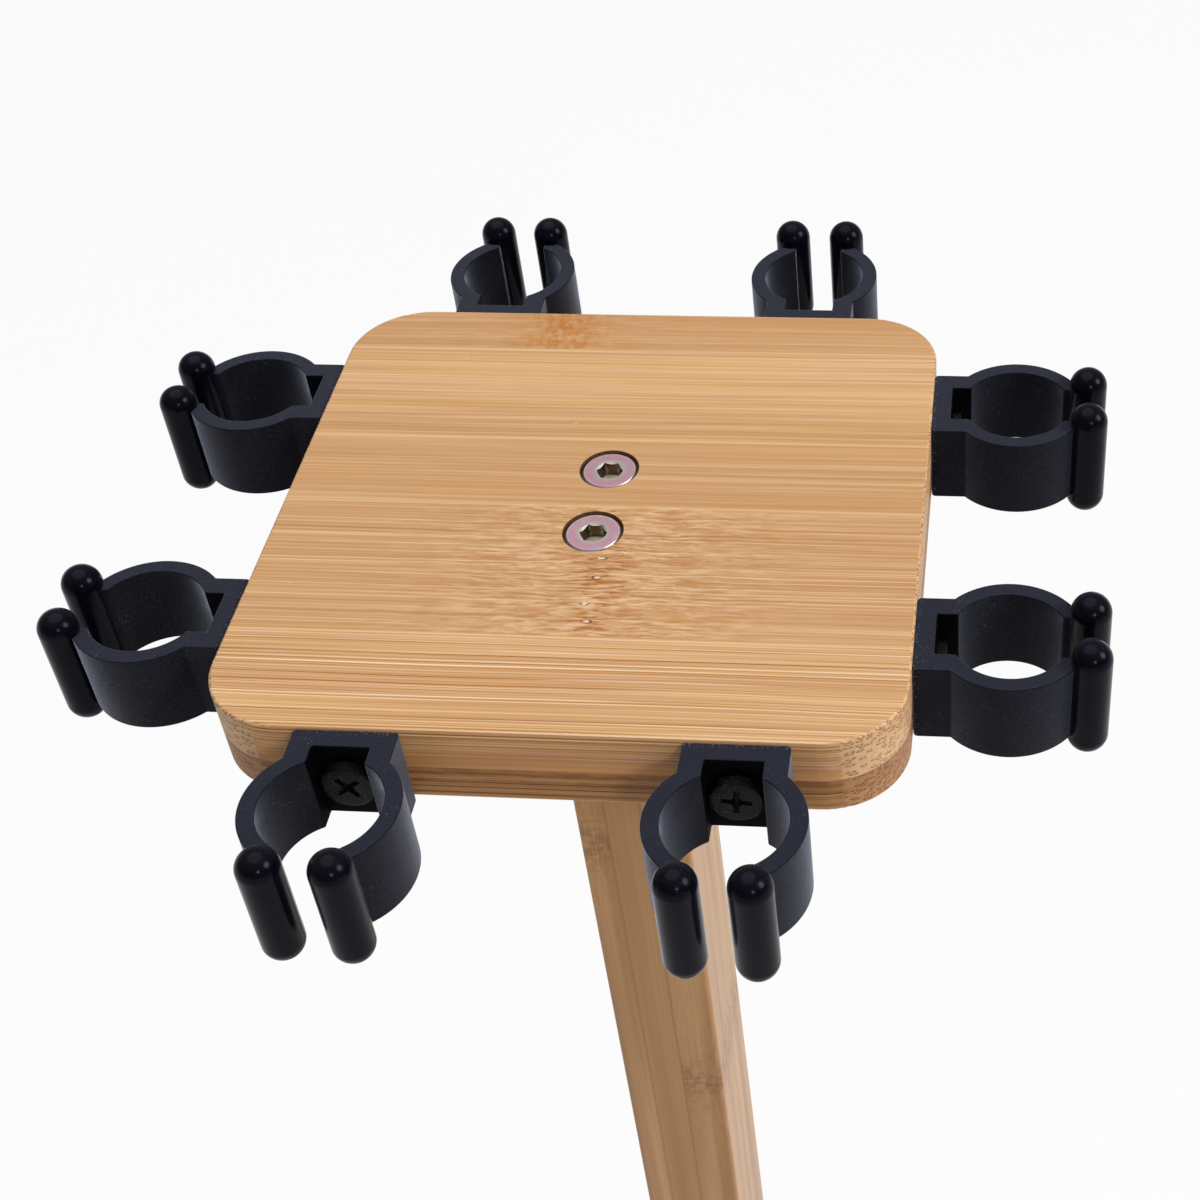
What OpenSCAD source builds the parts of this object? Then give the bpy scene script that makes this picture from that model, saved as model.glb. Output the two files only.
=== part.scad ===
// Floor-standing rod rack: a laminated bamboo top plate and base plate joined by a post.
// Eight clips round the top plate each hold a rod upright over its own recess in the base plate.
// Origin: on the floor, under the middle of the rack. Front is -Y, right is +X.

/* [Rack] */
// Height from the floor to the top face of the top plate
rack_h = 750; // [500:10:1200]

/* [Top plate] */
// Side of the square top plate
top_w = 140; // [132:1:200]
// Corner radius of the top plate
top_corner_r = 17; // [8:1:20]
// Thickness of the pale upper ply of the top plate
top_upper_t = 10.5; // [10:0.5:16]
// Thickness of the brown lower ply of the top plate
top_lower_t = 8.5; // [7:0.5:16]
// Radius along the outer edges of the top plate's two faces
top_edge_r = 0.6; // [0.2:0.1:2]

/* [Base plate] */
// Distance from the middle of a butt recess to the edge of the base plate
base_margin = 36; // [28:1:80]
// Corner radius of the base plate
base_corner_r = 30; // [10:1:40]
// Thickness of the upper ply of the base plate
base_upper_t = 10.5; // [10:0.5:20]
// Thickness of the lower ply of the base plate
base_lower_t = 8.5; // [7:0.5:20]
// Radius along the outer edges of the base plate's two faces
base_edge_r = 2; // [0.5:0.1:5]
// Diameter of the recess that takes the butt of a rod
butt_d = 40; // [30:1:48]
// Depth of that recess
butt_depth = 7; // [5:0.5:8]
// Width of the slope round the mouth of that recess
butt_chamfer = 1.5; // [0.5:0.1:2]

/* [Post] */
// Width of the post, seen from the front
post_w = 27; // [20:1:50]
// Depth of the post, front to rear
post_d = 35; // [30:1:60]
// Radius of the post's long edges
post_edge_r = 1.2; // [0.5:0.1:4]

/* [Clip] */
// Distance from a side of the top plate to the middle of the clip next to it
clip_inset = 32; // [30:1:38]
// Height of the clip's ring and back block
clip_h = 19; // [14:0.5:24]
// How far the clip's top face lies under the top face of the plate
clip_drop = 0.8; // [0:0.1:2]
// Inner diameter of the ring
ring_d = 24; // [20:0.5:25]
// Wall of the ring
ring_wall = 3.5; // [2.5:0.1:4]
// Distance from the edge of the top plate to the middle of the ring
ring_reach = 19; // [18.5:0.5:24]
// Width of the back block
block_w = 21; // [18:0.5:24]
// Radius of the back block's upright edges
block_corner_r = 0.9; // [0.3:0.1:2]
// Width of the screw pocket
pocket_w = 11.5; // [11.2:0.1:14]
// Thickness of the wall between the screw pocket and the plate
pocket_wall = 4.2; // [3:0.1:4.4]
// Diameter of a finger and of its ball ends
finger_d = 8.5; // [6:0.1:10]
// Opening between the two fingers
finger_gap = 5; // [4.5:0.1:8]
// How deep the side of a finger is set into the ring's wall
finger_set = 2.3; // [1:0.1:3]
// Straight length of a finger beyond each face of the ring
finger_over = 0.6; // [0:0.1:3]

/* [Clip screw] */
// Head diameter of the clip screw
clip_screw_head_d = 10.8; // [8:0.1:11]
// Head thickness of the clip screw
clip_screw_head_t = 2.1; // [1.5:0.1:2.2]
// Shank diameter of the clip screw
clip_screw_d = 4; // [3:0.1:5]
// Length of the clip screw under its head
clip_screw_l = 28; // [18:1:30]

/* [Frame bolt] */
// Distance from the front or rear face of the post to the middle of a frame bolt
bolt_inset = 7; // [6:0.5:8]
// Head diameter of a frame bolt
bolt_head_d = 12.2; // [11:0.1:14]
// Thickness of the rim of the head
bolt_rim_t = 0.9; // [0.7:0.1:2]
// Width of the slope round the edge of the head
bolt_rim_slope = 0.4; // [0.1:0.05:0.6]
// Shank diameter of a frame bolt
bolt_d = 6; // [5:0.5:7]
// How far a frame bolt reaches into the post
bolt_reach = 19.5; // [16:0.5:30]
// Width across the flats of the hexagonal socket
socket_w = 5.2; // [4:0.1:6]
// Depth of the hexagonal socket
socket_depth = 3.4; // [2:0.1:4]
// How far the head lies under the face of its plate
bolt_sink = 0.35; // [0:0.05:1]
// Gap all round the head in its seat
bolt_gap = 0.4; // [0.2:0.05:0.6]

/* [Threaded insert] */
// Outer diameter of an insert
insert_d = 10; // [9:0.5:12]
// Length of an insert
insert_l = 15; // [10:1:18]
// Width across the flats of the insert's hexagonal driving recess
insert_hex_w = 7.6; // [7.4:0.1:8.2]
// Depth of that recess
insert_hex_depth = 3; // [2:0.5:5]

/* [Foot] */
// Diameter of a foot at the base plate
foot_d = 20; // [16:0.5:24]
// Diameter of a foot at the floor
foot_floor_d = 17; // [15:0.5:24]
// Height of a foot
foot_h = 6; // [5:0.5:12]
// Distance from the edge of the base plate to the middle of a foot
foot_inset = 22; // [20:1:40]
// Head diameter of a foot screw
foot_screw_head_d = 7.6; // [6:0.1:9]
// Head thickness of a foot screw
foot_screw_head_t = 1.8; // [1.2:0.1:2.4]
// Shank diameter of a foot screw
foot_screw_d = 3.5; // [2.5:0.1:4]
// Length of a foot screw under its head
foot_screw_l = 12; // [8:1:16]

/* [Hidden] */
$fn = 96;
// A cut reaches this far past the face that it opens
past = 1;
// Gap all round a screw's shank in a hole that it passes through
pass_gap = 0.25;
// Gap all round a shank or an insert in the hole that holds it
hold_gap = 0.05;
// Gap all round a screw's head in its recess
head_gap = 0.4;

// Heights above the floor
base_z = foot_h;
base_glue_z = base_z + base_lower_t;
base_top_z = base_glue_z + base_upper_t;
top_glue_z = rack_h - top_upper_t;
top_z = top_glue_z - top_lower_t;
clip_z = rack_h - clip_drop - clip_h;
// Thicknesses of the two glued plates
top_t = top_upper_t + top_lower_t;
base_t = base_upper_t + base_lower_t;
base_w = top_w + 2 * (ring_reach + base_margin);

// Clip, drawn for the front: x along the plate's edge, y out from it
clip_spacing = top_w - 2 * clip_inset;
ring_r = ring_d / 2;
ring_outer_r = ring_r + ring_wall;
finger_x = (finger_gap + finger_d) / 2;
finger_from_ring = ring_outer_r + finger_d / 2 - finger_set;
finger_y = ring_reach + sqrt(finger_from_ring ^ 2 - finger_x ^ 2);
// The ring's two ends lie behind the fingers
ring_end_x = finger_x - finger_d / 8;

// Frame bolt and insert
bolt_spacing = post_d - 2 * bolt_inset;
bolt_cone_h = (bolt_head_d - bolt_d) / 2;
bolt_hole_d = bolt_d + 2 * pass_gap;
bolt_seat_d = bolt_head_d + 2 * bolt_gap;
bolt_seat_cone_d = bolt_head_d + 2 * hold_gap;
bolt_seat_cone_h = (bolt_seat_cone_d - bolt_hole_d) / 2;
bolt_tip_gap = 2;
socket_chamfer = 0.5;
insert_hole_d = insert_d + 2 * hold_gap;

// Clip screw and foot screw; the cross recess follows the head's diameter and thickness
screw_edge = 0.3;
cross_span_share = 0.56;
cross_arm_share = 0.16;
cross_depth_share = 0.6;
clip_screw_tip = 1.5 * clip_screw_d;
clip_screw_turn = [50, 5, 20, 75, 33, 64, 12, 40];
foot_screw_tip = 1.5 * foot_screw_d;
foot_recess_depth = foot_h / 2;
foot_recess_d = foot_screw_head_d + 2 * head_gap;
foot_edge = 1;

// The clips in order round the plate, two to a side, starting at the front
SEATS = ["front_left", "front_right", "right_front", "right_rear",
         "rear_right", "rear_left", "left_rear", "left_front"];
ENDS = ["front", "rear"];
CORNERS = ["front_left", "front_right", "rear_right", "rear_left"];

// Puts what is drawn for the front, with y out from the plate's edge, at clip seat i
module at_seat(i) {
    side = floor(i / 2);
    along = (i % 2 == 0 ? -1 : 1) * clip_spacing / 2;
    rotate([0, 0, 90 * side])
        translate([along, -top_w / 2, 0])
            mirror([0, 1, 0])
                children();
}

// Puts what is drawn at the middle of the post's end at frame bolt i
module at_bolt(i) {
    translate([0, (i - 0.5) * bolt_spacing, 0]) children();
}

// Puts what is drawn at the middle at foot i, in the order of CORNERS
module at_foot(i) {
    at = base_w / 2 - foot_inset;
    translate([i == 1 || i == 2 ? at : -at, i < 2 ? -at : at, 0]) children();
}

// Half of a ply's section from x = 0 out, with its outer edge round at the top
module ply_section(half_w, t, edge_r) {
    square([half_w - edge_r, t]);
    square([half_w, t - edge_r]);
    translate([half_w - edge_r, t - edge_r]) circle(edge_r);
}

// Square ply with four round corners and a round edge at the top, its lower face at z = 0
module ply(w, corner_r, t, edge_r) {
    straight = w - 2 * corner_r;
    for (a = [0:90:270])
        rotate([0, 0, a]) {
            rotate([90, 0, 0])
                translate([0, 0, -straight / 2])
                    linear_extrude(straight) ply_section(w / 2, t, edge_r);
            translate([straight / 2, straight / 2, 0])
                rotate_extrude() ply_section(corner_r, t, edge_r);
        }
}

// Outline with four round corners, about the origin
module rounded_outline(w, d, r) {
    square([w - 2 * r, d], center = true);
    square([w, d - 2 * r], center = true);
    for (x = [-1, 1], y = [-1, 1])
        translate([x * (w / 2 - r), y * (d / 2 - r)]) circle(r);
}

// Room for a frame bolt's head and shank, from a plate's outer face down
module bolt_seat(plate_t) {
    straight_t = bolt_sink + bolt_rim_t;
    translate([0, 0, -straight_t])
        cylinder(d = bolt_seat_d, h = straight_t + past);
    translate([0, 0, -straight_t - bolt_seat_cone_h])
        cylinder(d1 = bolt_hole_d, d2 = bolt_seat_cone_d, h = bolt_seat_cone_h);
    translate([0, 0, -plate_t - past])
        cylinder(d = bolt_hole_d, h = plate_t + past);
}

// Hole in the edge of the top plate for a clip screw, drawn for the front
module clip_screw_hole() {
    depth = clip_screw_l - pocket_wall + pass_gap;
    translate([0, past, clip_z + clip_h / 2])
        rotate([90, 0, 0])
            cylinder(d = clip_screw_d + 2 * hold_gap, h = depth + past);
}

// Everything that is cut out of both plies of the top plate
module top_plate_cuts() {
    for (i = [0, 1]) at_bolt(i)
        translate([0, 0, rack_h]) bolt_seat(top_t);
    for (i = [0:7]) at_seat(i) clip_screw_hole();
}

module top_plate_upper_ply() {
    color("burlywood")
        difference() {
            translate([0, 0, top_glue_z]) ply(top_w, top_corner_r, top_upper_t, top_edge_r);
            top_plate_cuts();
        }
}

module top_plate_lower_ply() {
    color("peru")
        difference() {
            translate([0, 0, top_glue_z])
                mirror([0, 0, 1]) ply(top_w, top_corner_r, top_lower_t, top_edge_r);
            top_plate_cuts();
        }
}

// Hole in the post's end for one insert and the bolt's tip beyond it, from z = 0 down
module insert_hole() {
    depth = max(bolt_reach, insert_l) + bolt_tip_gap;
    translate([0, 0, -insert_l])
        cylinder(d = insert_hole_d, h = insert_l + past);
    translate([0, 0, -depth])
        cylinder(d = bolt_hole_d, h = depth);
}

module post() {
    color("tan")
        difference() {
            translate([0, 0, base_top_z])
                linear_extrude(top_z - base_top_z)
                    rounded_outline(post_w, post_d, post_edge_r);
            for (i = [0, 1]) at_bolt(i) {
                translate([0, 0, top_z]) insert_hole();
                translate([0, 0, base_top_z]) mirror([0, 0, 1]) insert_hole();
            }
        }
}

// Recess in the base plate right under the ring of a clip
module butt_recess() {
    translate([0, ring_reach, base_top_z - butt_depth])
        cylinder(d = butt_d, h = butt_depth + past);
    translate([0, ring_reach, base_top_z - butt_chamfer])
        cylinder(d1 = butt_d, d2 = butt_d + 2 * butt_chamfer, h = butt_chamfer);
}

// Frame bolts come up through the base plate from below, and foot screws go into it
module base_plate_cuts() {
    for (i = [0, 1]) at_bolt(i)
        translate([0, 0, base_z]) mirror([0, 0, 1]) bolt_seat(base_t);
    for (i = [0:3]) at_foot(i)
        translate([0, 0, base_z - past])
            cylinder(d = foot_screw_d + 2 * hold_gap, h = foot_screw_l - foot_h / 2 + past + pass_gap);
}

module base_plate_upper_ply() {
    color("burlywood")
        difference() {
            translate([0, 0, base_glue_z]) ply(base_w, base_corner_r, base_upper_t, base_edge_r);
            for (i = [0:7]) at_seat(i) butt_recess();
            base_plate_cuts();
        }
}

module base_plate_lower_ply() {
    color("peru")
        difference() {
            translate([0, 0, base_glue_z])
                mirror([0, 0, 1]) ply(base_w, base_corner_r, base_lower_t, base_edge_r);
            base_plate_cuts();
        }
}

// Seen from above: back block and open ring, with the screw pocket cut through to the ring
module clip_outline() {
    difference() {
        union() {
            translate([0, ring_reach / 2]) rounded_outline(block_w, ring_reach, block_corner_r);
            translate([0, ring_reach]) circle(ring_outer_r);
        }
        translate([0, ring_reach]) circle(ring_r);
        translate([-pocket_w / 2, pocket_wall]) square([pocket_w, ring_reach - pocket_wall]);
        translate([-ring_end_x, ring_reach]) square([2 * ring_end_x, ring_outer_r + past]);
    }
}

// One upright finger with a ball at each end
module finger() {
    translate([0, 0, -finger_over]) cylinder(d = finger_d, h = clip_h + 2 * finger_over);
    for (z = [-finger_over, clip_h + finger_over])
        translate([0, 0, z]) sphere(d = finger_d);
}

// One-piece moulded clip, drawn for the front, its lower face at z = 0
module clip_shape() {
    difference() {
        union() {
            linear_extrude(clip_h) clip_outline();
            for (x = [-1, 1])
                translate([x * finger_x, finger_y, 0]) finger();
        }
        translate([0, pocket_wall + past, clip_h / 2])
            rotate([90, 0, 0])
                cylinder(d = clip_screw_d + 2 * pass_gap, h = pocket_wall + 2 * past);
    }
}

module clip(i) {
    color("#26272b")
        at_seat(i) translate([0, 0, clip_z]) clip_shape();
}

// Cross recess for a driver, cut down from z = 0
module cross_recess(span, arm, depth) {
    for (a = [0, 90])
        rotate([0, 0, a])
            translate([-span / 2, -arm / 2, -depth])
                cube([span, arm, depth + past]);
}

// Wood screw pointing down, its head's underside at z = 0
module wood_screw(head_d, head_t, d, l, tip, turn) {
    difference() {
        union() {
            cylinder(d = head_d, h = head_t - screw_edge);
            translate([0, 0, head_t - screw_edge])
                cylinder(d1 = head_d, d2 = head_d - 2 * screw_edge, h = screw_edge);
        }
        translate([0, 0, head_t])
            rotate([0, 0, turn])
                cross_recess(head_d * cross_span_share, head_d * cross_arm_share,
                             head_t * cross_depth_share);
    }
    translate([0, 0, tip - l]) cylinder(d = d, h = l - tip);
    translate([0, 0, -l]) cylinder(d1 = d / 4, d2 = d, h = tip);
}

module clip_screw(i) {
    color("#1d1d20")
        at_seat(i)
            translate([0, pocket_wall, clip_z + clip_h / 2])
                rotate([-90, 0, 0])
                    wood_screw(clip_screw_head_d, clip_screw_head_t, clip_screw_d,
                               clip_screw_l, clip_screw_tip, clip_screw_turn[i]);
}

// Flat-head bolt for a plate of the given thickness, pointing down, the top of its head at z = 0
module frame_bolt(plate_t) {
    l = plate_t + bolt_reach - bolt_sink;
    socket_r = socket_w / sqrt(3);
    tip = bolt_d / 8;
    difference() {
        union() {
            translate([0, 0, -bolt_rim_slope])
                cylinder(d1 = bolt_head_d, d2 = bolt_head_d - 2 * bolt_rim_slope, h = bolt_rim_slope);
            translate([0, 0, -bolt_rim_t])
                cylinder(d = bolt_head_d, h = bolt_rim_t - bolt_rim_slope);
            translate([0, 0, -bolt_rim_t - bolt_cone_h])
                cylinder(d1 = bolt_d, d2 = bolt_head_d, h = bolt_cone_h);
            translate([0, 0, tip - l])
                cylinder(d = bolt_d, h = l - tip - bolt_rim_t - bolt_cone_h);
            translate([0, 0, -l]) cylinder(d1 = bolt_d - 2 * tip, d2 = bolt_d, h = tip);
        }
        translate([0, 0, -socket_depth]) cylinder(r = socket_r, h = socket_depth + past, $fn = 6);
        translate([0, 0, -socket_chamfer])
            cylinder(r1 = socket_r - socket_chamfer, r2 = socket_r, h = socket_chamfer);
    }
}

module top_bolt(i) {
    color("thistle")
        at_bolt(i) translate([0, 0, rack_h - bolt_sink]) frame_bolt(top_t);
}

module base_bolt(i) {
    color("thistle")
        at_bolt(i) translate([0, 0, base_z + bolt_sink]) mirror([0, 0, 1]) frame_bolt(base_t);
}

// Threaded insert, its mouth at z = 0 and its body below
module insert() {
    difference() {
        translate([0, 0, -insert_l]) cylinder(d = insert_d, h = insert_l);
        translate([0, 0, -insert_l - past]) cylinder(d = bolt_d + 2 * hold_gap, h = insert_l + 2 * past);
        translate([0, 0, -insert_hex_depth])
            cylinder(r = insert_hex_w / sqrt(3), h = insert_hex_depth + past, $fn = 6);
    }
}

module top_insert(i) {
    color("goldenrod")
        at_bolt(i) translate([0, 0, top_z]) insert();
}

module base_insert(i) {
    color("goldenrod")
        at_bolt(i) translate([0, 0, base_top_z]) mirror([0, 0, 1]) insert();
}

// Rubber foot, narrower at the floor, with a recess there for the head of its screw
module foot(i) {
    color("#202020")
        at_foot(i)
            rotate_extrude()
                polygon([
                    [foot_screw_d / 2 + pass_gap, foot_h],
                    [foot_screw_d / 2 + pass_gap, foot_recess_depth],
                    [foot_recess_d / 2, foot_recess_depth],
                    [foot_recess_d / 2, 0],
                    [foot_floor_d / 2 - foot_edge, 0],
                    [foot_floor_d / 2, foot_edge],
                    [foot_d / 2, foot_h]]);
}

module foot_screw(i) {
    color("silver")
        at_foot(i)
            translate([0, 0, foot_recess_depth])
                mirror([0, 0, 1])
                    wood_screw(foot_screw_head_d, foot_screw_head_t, foot_screw_d,
                               foot_screw_l, foot_screw_tip, 0);
}

top_plate_upper_ply();
top_plate_lower_ply();
post();
base_plate_upper_ply();
base_plate_lower_ply();
for (i = [0:7]) {
    clip(i);
    clip_screw(i);
}
for (i = [0, 1]) {
    top_bolt(i);
    base_bolt(i);
    top_insert(i);
    base_insert(i);
}
for (i = [0:3]) {
    foot(i);
    foot_screw(i);
}
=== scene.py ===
import math
import random

import bmesh
import bpy
from mathutils import Matrix, Vector


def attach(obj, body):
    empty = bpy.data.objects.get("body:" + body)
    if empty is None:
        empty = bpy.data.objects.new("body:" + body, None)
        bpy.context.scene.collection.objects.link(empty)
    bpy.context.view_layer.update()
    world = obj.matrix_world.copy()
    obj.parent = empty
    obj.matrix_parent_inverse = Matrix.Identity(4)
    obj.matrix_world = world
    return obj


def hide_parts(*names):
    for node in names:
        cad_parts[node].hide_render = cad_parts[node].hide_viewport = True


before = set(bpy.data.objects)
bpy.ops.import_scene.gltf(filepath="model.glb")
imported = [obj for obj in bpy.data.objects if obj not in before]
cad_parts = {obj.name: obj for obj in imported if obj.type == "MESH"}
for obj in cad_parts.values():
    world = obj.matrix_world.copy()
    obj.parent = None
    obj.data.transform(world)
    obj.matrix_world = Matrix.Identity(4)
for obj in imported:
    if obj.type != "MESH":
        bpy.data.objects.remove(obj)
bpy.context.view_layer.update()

MM = 0.001

# Real sizes in millimetres, as in the CAD model
RACK_H = 750.0
TOP_W, TOP_UPPER_T, TOP_T = 140.0, 10.5, 19.0
BASE_W, BASE_Z, BASE_UPPER_T, BASE_T = 250.0, 6.0, 10.5, 19.0
POST_W, POST_D = 27.0, 35.0
CLIP_INSET, CLIP_H, CLIP_DROP = 32.0, 19.0, 0.8
RING_R, RING_WALL, RING_REACH = 12.0, 3.5, 19.0
BLOCK_W, BLOCK_CORNER, POCKET_W, POCKET_WALL = 21.0, 0.9, 11.5, 4.2
FINGER_D, FINGER_GAP, FINGER_SET, FINGER_OVER = 8.5, 5.0, 2.3, 0.6
FINGER_X = (FINGER_GAP + FINGER_D) / 2
CLIP_HOLE_R = 2.25
CLIP_SCREW = {"head_d": 10.8, "head_t": 2.1, "d": 4.0, "length": 28.0, "pitch": 1.8}
FOOT_SCREW = {"head_d": 7.6, "head_t": 1.8, "d": 3.5, "length": 12.0, "pitch": 1.5}
BOLT_Y, BOLT_HEAD_D, BOLT_D, BOLT_SINK, BOLT_GAP = 10.5, 12.2, 6.0, 0.35, 0.4
BOLT_RIM, BOLT_SLOPE, BOLT_TIP, BOLT_IN_POST = 0.9, 0.4, 0.75, 19.5
BOLT_L = TOP_T + BOLT_IN_POST - BOLT_SINK
SOCKET_R, SOCKET_DEPTH = 3.002, 3.4
FOOT_AT, FOOT_H = 103.0, 6.0

# Fine detail that only this script makes, in millimetres: rounded edges of the clips and of the
# screw heads, the drilled point and the chamfered mouth of a bolt's socket, and a bolt's thread
CLIP_EASE, SCREW_HEAD_EASE = 0.32, 0.5
SOCKET_POINT, MOUTH_R, MOUTH_EASE = 4.1, 3.0, 0.6
BOLT_PITCH, BOLT_THREAD = 1.0, 0.55
# Edges that turn by more degrees than this are drawn sharp, on most pieces and on the bolts
SHARP, BOLT_SHARP = 32.0, 25.0
# Where a clip's second and third materials stand in its list; its body has the first, and the third paints
# shade on the walls of its pocket
FINGER_MATERIAL, POCKET_SHADE_MATERIAL = 1, 2

# Clips in their order round the top plate, and how far each one's screw is turned, in degrees
SEATS = ["front_left", "front_right", "right_front", "right_rear",
         "rear_right", "rear_left", "left_rear", "left_front"]
SCREW_TURNS = [50, 5, 20, 75, 33, 64, 12, 40]
CORNERS = {"front_left": (-1, -1), "front_right": (1, -1), "rear_right": (1, 1), "rear_left": (-1, 1)}
SQUARE = [(-1, -1), (1, -1), (1, 1), (-1, 1)]
# Axes along the grain, across the slats and through them, for the plates and for the post
GRAIN_X, GRAIN_Z = (0, 1, 2), (2, 0, 1)
# What every lamp points at, in metres
LAMP_AIM = (0, 0, 0.6)


# Camera, solved from the photograph: 1200 px frame, principal point right of its middle
def add_camera():
    focal_px, principal_x, frame_px = 2006.81, 840.0, 1200.0
    azimuth, elevation, roll = (math.radians(a) for a in (6.748, 42.585, -2.963))
    stand = Vector((89.648, -328.101, RACK_H + 276.021))
    back = Vector((math.sin(azimuth) * math.cos(elevation),
                   -math.cos(azimuth) * math.cos(elevation), math.sin(elevation)))
    level = Vector((math.cos(azimuth), math.sin(azimuth), 0.0))
    upright = back.cross(level)
    right = level * math.cos(roll) + upright * math.sin(roll)
    up = upright * math.cos(roll) - level * math.sin(roll)
    data = bpy.data.cameras.new("camera")
    data.sensor_width = 36.0
    data.lens = focal_px / frame_px * data.sensor_width
    data.shift_x = (frame_px / 2 - principal_x) / frame_px
    data.clip_start, data.clip_end = 0.01, 50.0
    camera = bpy.data.objects.new("camera", data)
    turn = Matrix((right, up, back)).transposed().to_4x4()
    camera.matrix_world = Matrix.Translation(stand * MM) @ turn
    bpy.context.scene.collection.objects.link(camera)
    bpy.context.scene.camera = camera


# Node graphs are written through this small helper, one call per node
class Graph:
    def __init__(self, name):
        self.material = bpy.data.materials.new(name)
        self.material.use_nodes = True
        self.tree = self.material.node_tree
        self.tree.nodes.clear()
        self.out = self.tree.nodes.new("ShaderNodeOutputMaterial")

    def node(self, kind, **settings):
        n = self.tree.nodes.new(kind)
        for key, value in settings.items():
            setattr(n, key, value)
        return n

    def put(self, socket, value):
        if isinstance(value, bpy.types.NodeSocket):
            self.tree.links.new(value, socket)
        else:
            socket.default_value = value

    def math(self, operation, a, b=None, c=None, clamp=False):
        n = self.node("ShaderNodeMath", operation=operation, use_clamp=clamp)
        for socket, value in zip(n.inputs, (a, b, c)):
            if value is not None:
                self.put(socket, value)
        return n.outputs[0]

    def chain(self, operation, values):
        result = values[0]
        for value in values[1:]:
            result = self.math(operation, result, value)
        return result

    def add(self, *values):
        return self.chain("ADD", values)

    def mul(self, *values):
        return self.chain("MULTIPLY", values)

    def highest(self, *values):
        return self.chain("MAXIMUM", values)

    def sub(self, a, b):
        return self.math("SUBTRACT", a, b)

    def step(self, value, low, high, smooth=True):
        """0 below low, 1 above high; low may be the larger one."""
        n = self.node("ShaderNodeMapRange", interpolation_type="SMOOTHSTEP" if smooth else "LINEAR")
        self.put(n.inputs["Value"], value)
        if low < high:
            limits = (low, high, 0.0, 1.0)
        else:
            limits = (high, low, 1.0, 0.0)
        for socket, limit in zip(list(n.inputs)[1:5], limits):
            socket.default_value = limit
        return n.outputs[0]

    def vector(self, x, y, z=0.0):
        n = self.node("ShaderNodeCombineXYZ")
        for socket, value in zip(n.inputs, (x, y, z)):
            self.put(socket, value)
        return n.outputs[0]

    def split(self, vector):
        n = self.node("ShaderNodeSeparateXYZ")
        self.put(n.inputs[0], vector)
        return n.outputs

    def channels(self, colour):
        n = self.node("ShaderNodeSeparateColor")
        self.put(n.inputs[0], colour)
        return n.outputs

    def noise(self, vector, detail=2.0, roughness=0.5, scale=1.0):
        n = self.node("ShaderNodeTexNoise")
        self.put(n.inputs["Vector"], vector)
        n.inputs["Scale"].default_value = scale
        n.inputs["Detail"].default_value = detail
        n.inputs["Roughness"].default_value = roughness
        return n.outputs["Fac"]

    def voronoi(self, vector, dimensions="3D", randomness=1.0, scale=1.0):
        """Outputs of scattered cells; with dimensions 1D, vector is a number."""
        n = self.node("ShaderNodeTexVoronoi", voronoi_dimensions=dimensions)
        self.put(n.inputs["W" if dimensions == "1D" else "Vector"], vector)
        n.inputs["Scale"].default_value = scale
        n.inputs["Randomness"].default_value = randomness
        return n.outputs

    def mix(self, factor, a, b, blend="MIX"):
        n = self.node("ShaderNodeMix", data_type="RGBA", blend_type=blend)
        self.put(n.inputs[0], factor)
        self.put(n.inputs[6], a)
        self.put(n.inputs[7], b)
        return n.outputs[2]

    def tint(self, colour, other, *masks):
        """The colour with the other one over it, as strongly as the product of the masks."""
        return self.mix(self.mul(*masks), colour, other)

    def ramp(self, value, stops, constant=False):
        n = self.node("ShaderNodeValToRGB")
        ramp = n.color_ramp
        ramp.interpolation = "CONSTANT" if constant else "LINEAR"
        ramp.elements[0].position, ramp.elements[0].color = stops[0][0], (*stops[0][1], 1.0)[:4]
        ramp.elements.remove(ramp.elements[1])
        for position, colour in stops[1:]:
            ramp.elements.new(position).color = (*colour, 1.0)[:4]
        self.put(n.inputs[0], value)
        return n.outputs[0]

    def bump(self, height, distance_mm, strength):
        n = self.node("ShaderNodeBump")
        n.inputs["Strength"].default_value = strength
        n.inputs["Distance"].default_value = distance_mm * MM
        self.put(n.inputs["Height"], height)
        return n.outputs[0]

    def place(self):
        """The place of a point in the row's frame, in millimetres, and its x, y and z."""
        position = self.node("ShaderNodeNewGeometry").outputs["Position"]
        scale = self.node("ShaderNodeVectorMath", operation="SCALE")
        self.put(scale.inputs[0], position)
        scale.inputs["Scale"].default_value = 1 / MM
        return scale.outputs[0], self.split(scale.outputs[0])

    def facing(self):
        """How far a face looks along x, y and z, as absolute shares."""
        normal = self.node("ShaderNodeNewGeometry").outputs["True Normal"]
        return [self.math("ABSOLUTE", o) for o in self.split(normal)]

    def from_bolt(self, xyz):
        """Distance from the axis of the nearer frame bolt."""
        off = self.sub(self.math("ABSOLUTE", xyz[1]), BOLT_Y)
        return self.math("SQRT", self.add(self.mul(xyz[0], xyz[0]), self.mul(off, off)))

    def finish(self, **inputs):
        shader = self.node("ShaderNodeBsdfPrincipled")
        for name, value in inputs.items():
            self.put(shader.inputs[name.replace("_", " ")], value)
        self.tree.links.new(shader.outputs[0], self.out.inputs[0])
        return self.material


def linear(level):
    """Light of a display level from 0 to 255."""
    return level / 12.92 / 255 if level <= 10 else ((level / 255 + 0.055) / 1.055) ** 2.4


def srgb(r, g, b):
    return (linear(r), linear(g), linear(b), 1.0)


# Laminated bamboo as a solid texture. Lengths are in millimetres, and frequencies per millimetre

# From knot to knot along a strip, and how far from the middle a slat's own knot may be placed
KNOT_GAP, KNOT_FAR = 280.0, 130.0
# How far along the grain a knot bends the fibres, and the reach of its column and of its patch
SWIRL_REACH, CORE_REACH, PATCH_REACH = 32.0, 4.2, 9.5
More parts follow.
